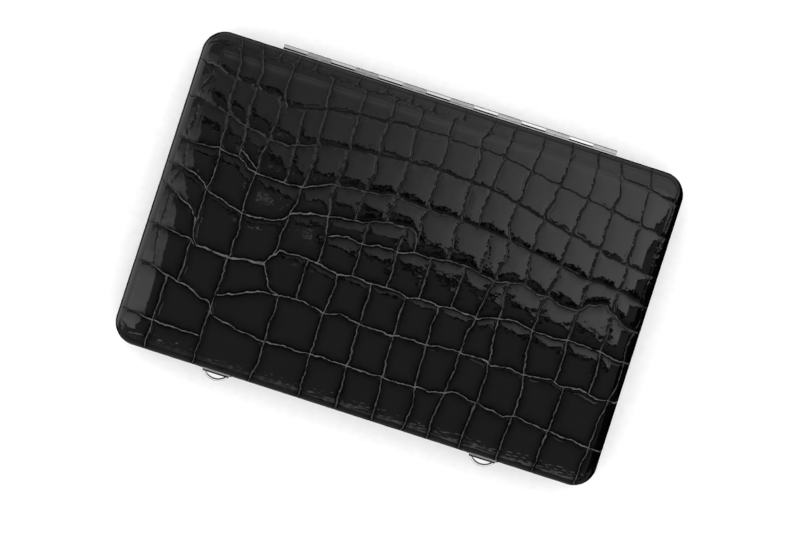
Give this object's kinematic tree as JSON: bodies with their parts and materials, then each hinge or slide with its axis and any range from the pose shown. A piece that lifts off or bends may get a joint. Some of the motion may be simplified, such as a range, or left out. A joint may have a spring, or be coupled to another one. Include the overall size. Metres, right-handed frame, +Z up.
{
  "type": "manicure set case",
  "caption": "Flat hinged manicure set case in embossed black leather, with a piano hinge, sprung push-button catches and tools strapped to a panel inside.",
  "frame": {"origin": "middle of the flat underside that the shut case lies on, half way between the front and back edges of the leather", "axes": "+X along the hinge to the right as seen from the push buttons, +Y from the push buttons to the hinge, +Z up"},
  "size_m": [0.15, 0.1019, 0.026],
  "materials": {
    "leather": "black patent leather, crocodile embossed",
    "board": "grey-brown pressed board",
    "rim_steel": "nickel-plated sheet steel",
    "hinge_steel": "nickel-plated, drawn",
    "rivet_steel": "bright",
    "chrome": "polished",
    "spring_steel": "blued spring strip",
    "lining": "short-pile velour",
    "panel_cloth": "velour over a padded card",
    "strap_leather": "smooth, edge-stitched",
    "file_steel": "cross-cut file face",
    "handle_plastic": "gloss black",
    "tool_steel": "polished nickel plate"
  },
  "bodies": {
    "base": {"base_leather": "leather", "base_board": "board", "base_rim": "rim_steel", "base_lining": "lining", "insert_panel": "panel_cloth", "tool_straps": "strap_leather", "hinge_leaf_base": "hinge_steel", "hinge_pin": "hinge_steel", "hinge_rivets_base": "rivet_steel", "catch_rivets": "rivet_steel", "catch_bezel_left": "chrome", "catch_bezel_right": "chrome", "catch_housing_left": "rim_steel", "catch_housing_right": "rim_steel", "catch_spring_left": "spring_steel", "catch_spring_right": "spring_steel", "file_blade": "file_steel", "file_handle": "handle_plastic", "cuticle_pusher": "tool_steel", "nail_scissor_lower": "tool_steel", "nail_scissor_upper": "tool_steel", "nail_scissor_screw": "tool_steel", "tweezers": "tool_steel", "clipper_lower_jaw": "tool_steel", "clipper_upper_jaw": "tool_steel", "clipper_lever": "tool_steel", "clipper_pin": "tool_steel", "cuticle_scissor_lower": "tool_steel", "cuticle_scissor_upper": "tool_steel", "cuticle_scissor_screw": "tool_steel"},
    "lid": {"lid_leather": "leather", "lid_board": "board", "lid_rim": "rim_steel", "lid_lining": "lining", "lid_pad": "panel_cloth", "hinge_leaf_lid": "hinge_steel", "hinge_rivets_lid": "rivet_steel"},
    "left_button": {"button_left": "chrome", "latch_left": "rim_steel"},
    "right_button": {"button_right": "chrome", "latch_right": "rim_steel"}
  },
  "joints": [
    {"name": "lid_hinge", "type": "hinge", "parent": "base", "child": "lid", "pos_m": [0, 0.0495, 0.013], "axis": [-1, 0, 0], "range_deg": [0, 180]},
    {"name": "left_button_press", "type": "slide", "parent": "base", "child": "left_button", "axis": [0, 1, 0], "range_m": [0, 0.0012], "stiffness_N_per_m": 2500, "deforming": ["catch_spring_left"]},
    {"name": "right_button_press", "type": "slide", "parent": "base", "child": "right_button", "axis": [0, 1, 0], "range_m": [0, 0.0012], "stiffness_N_per_m": 2500, "deforming": ["catch_spring_right"]}
  ]
}
